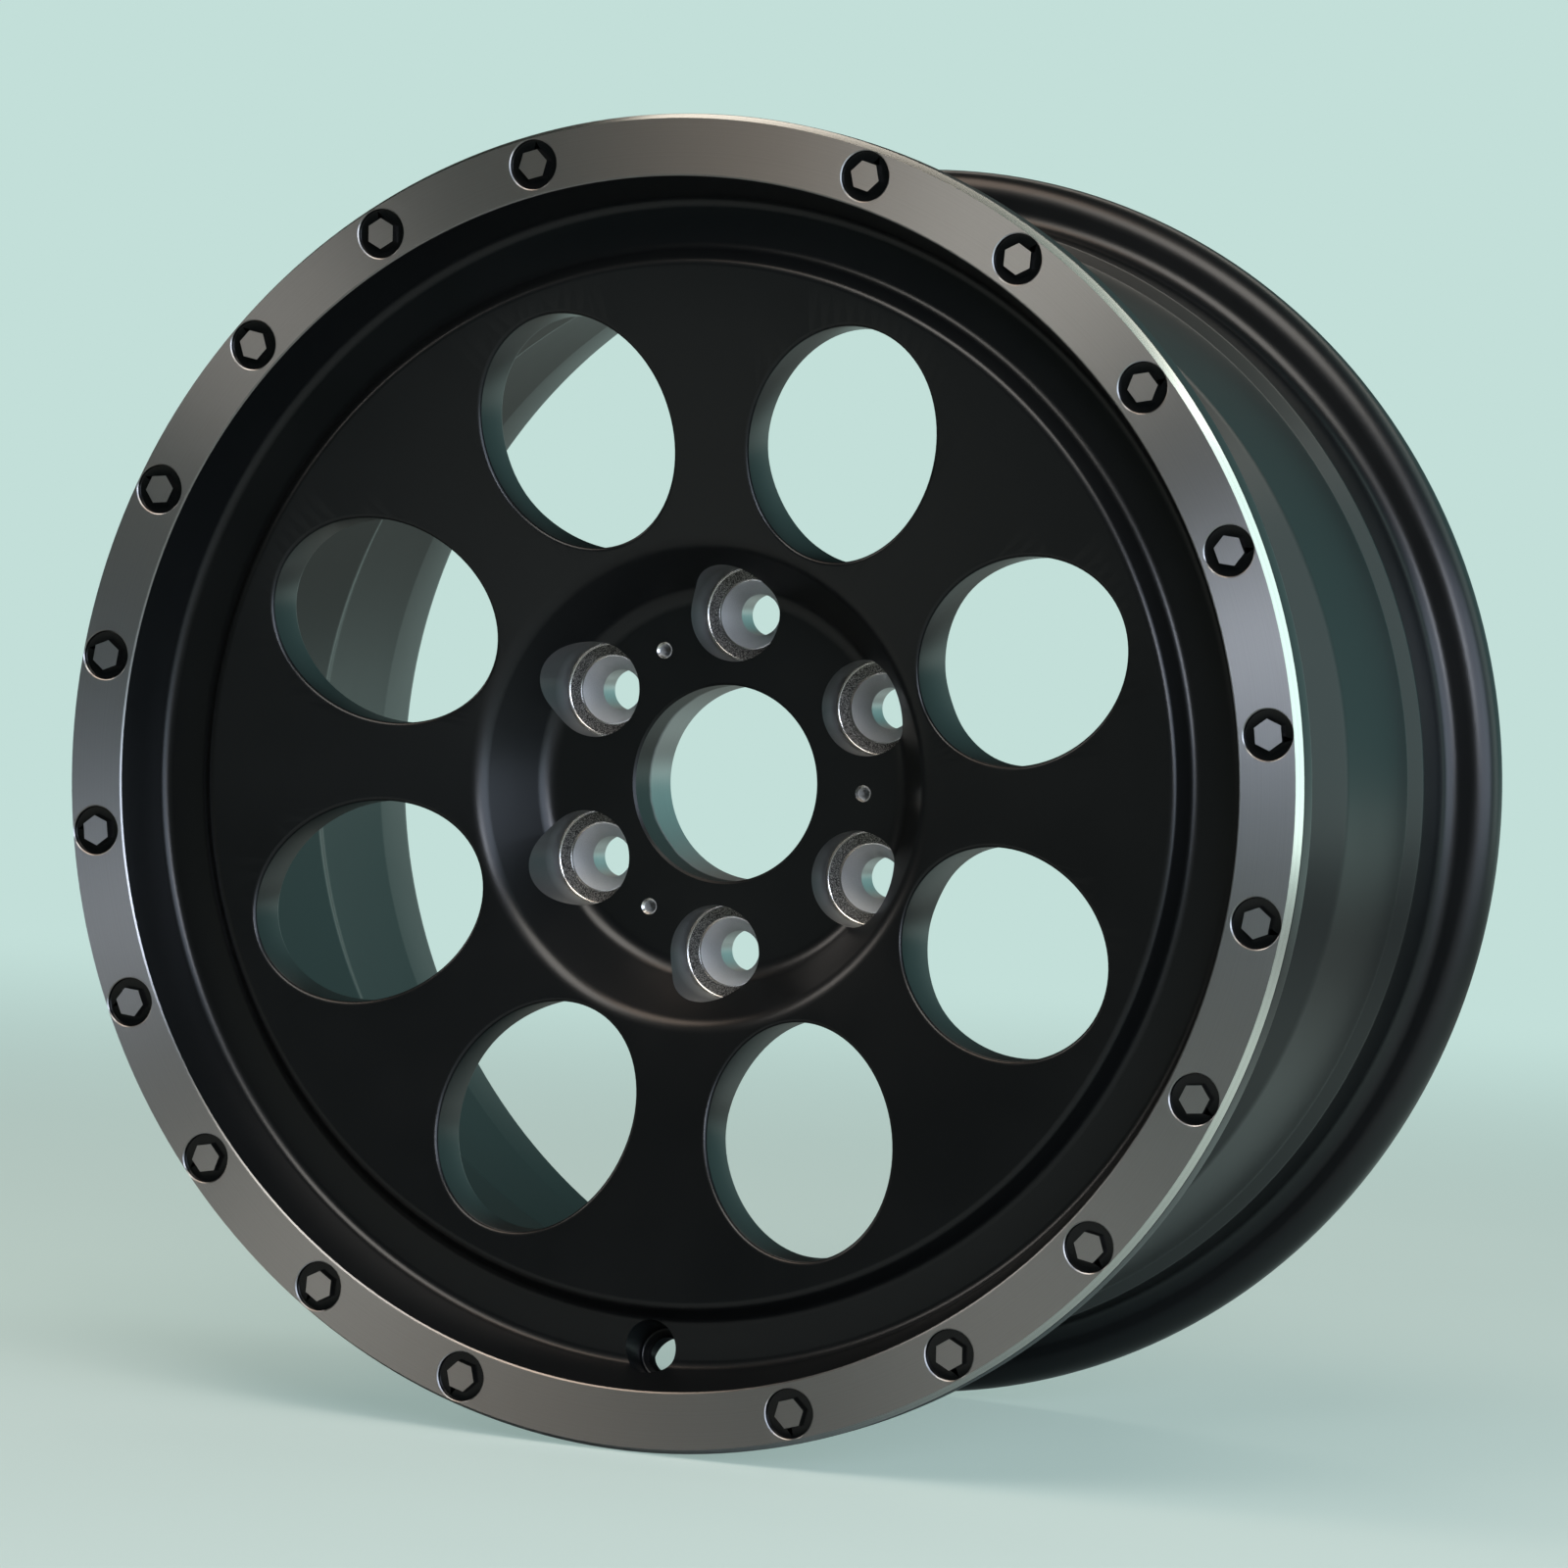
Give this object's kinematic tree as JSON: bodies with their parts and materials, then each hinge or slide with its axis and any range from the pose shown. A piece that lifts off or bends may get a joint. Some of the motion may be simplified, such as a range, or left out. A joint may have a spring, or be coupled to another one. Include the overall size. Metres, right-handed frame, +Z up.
{
  "type": "forged car wheel",
  "caption": "Forged off-road car wheel with an imitation beadlock ring, oval windows, deep lug pockets and an open hub bore, without a tyre.",
  "frame": {"origin": "on the wheel's axis, midway between the outboard face of the ring and the rear face of the rim", "axes": "+Y along the axis toward the vehicle, the outboard face looks along -Y, +Z up with the valve hole at the bottom, +X to the right as the outboard face is seen"},
  "size_m": [0.4406, 0.2312, 0.4406],
  "materials": {
    "wheel": "satin black powder coat over forged aluminium"
  },
  "bodies": {
    "root": {"wheel": "wheel"}
  },
  "joints": []
}
